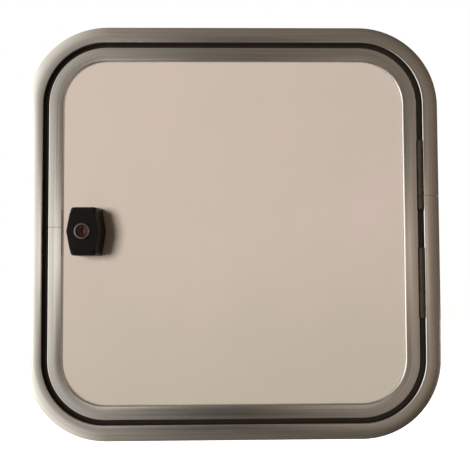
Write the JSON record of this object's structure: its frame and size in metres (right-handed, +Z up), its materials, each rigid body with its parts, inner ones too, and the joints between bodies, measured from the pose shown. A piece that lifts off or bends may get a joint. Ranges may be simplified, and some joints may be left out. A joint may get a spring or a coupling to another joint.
{
  "type": "caravan locker door",
  "caption": "Square insulated locker door with rounded corners, in an aluminium wall frame, hung on knuckle hinges and closed by a turning key-locked knob and cam.",
  "frame": {"origin": "Centre of the cut-out in the caravan's wall, on the wall's outer face", "axes": "+Z up, +Y into the caravan, so the outer face looks along -Y, and +X towards the hinges, on the right as seen from outside"},
  "size_m": [0.414, 0.0705, 0.414],
  "materials": {
    "satin_aluminium": "satin, drawn and lightly anodised",
    "plain_aluminium": "mill finish",
    "black_rubber": "matt extruded rubber",
    "zinc_steel": "bright zinc plate",
    "black_hinge": "black powder coat",
    "butyl_tape": "matt",
    "cream_skin": "matt cream",
    "foam_core": "cut foam",
    "white_liner": "semi-matt lining board",
    "timber": "sawn softwood",
    "black_plastic": "fine moulded grain",
    "chrome_ring": "bright chrome plate",
    "plug_metal": "worn plated brass"
  },
  "bodies": {
    "frame": {"outer_frame": "satin_aluminium", "frame_joiner": "plain_aluminium", "weather_seal": "black_rubber", "bulb_seal": "black_rubber", "keeper": "zinc_steel", "keeper_screws": "zinc_steel", "frame_hinge_leaf_upper": "black_hinge", "frame_hinge_leaf_lower": "black_hinge", "hinge_pin_upper": "black_hinge", "hinge_pin_lower": "black_hinge", "frame_hinge_rivets": "black_hinge"},
    "door": {"door_frame": "satin_aluminium", "door_joiner": "plain_aluminium", "joiner_rivets": "plain_aluminium", "bedding_tape": "butyl_tape", "outer_skin": "cream_skin", "panel_core": "foam_core", "inner_liner": "white_liner", "hinge_batten": "timber", "lock_block": "timber", "door_hinge_leaf_upper": "black_hinge", "door_hinge_leaf_lower": "black_hinge", "door_hinge_screws": "black_hinge", "lock_gasket": "black_rubber", "lock_barrel": "zinc_steel", "lock_washer": "zinc_steel", "lock_nut": "zinc_steel"},
    "knob": {"knob": "black_plastic", "key_cylinder": "chrome_ring", "spindle": "zinc_steel", "cam": "zinc_steel", "cam_washer": "zinc_steel", "cam_screw": "zinc_steel"},
    "key": {"key_plug": "plug_metal"}
  },
  "joints": [
    {"name": "door_swing", "type": "hinge", "parent": "frame", "child": "door", "pos_m": [0.1873, -0.005, 0.002], "axis": [0, 0, 1], "range_deg": [0, 160]},
    {"name": "knob_turn", "type": "hinge", "parent": "door", "child": "knob", "pos_m": [-0.1437, -0.005, -0.0005], "axis": [0, 1, 0], "range_deg": [0, 90]},
    {"name": "key_turn", "type": "hinge", "parent": "knob", "child": "key", "pos_m": [-0.1437, -0.022, -0.0005], "axis": [0, 1, 0], "range_deg": [0, 90]}
  ]
}
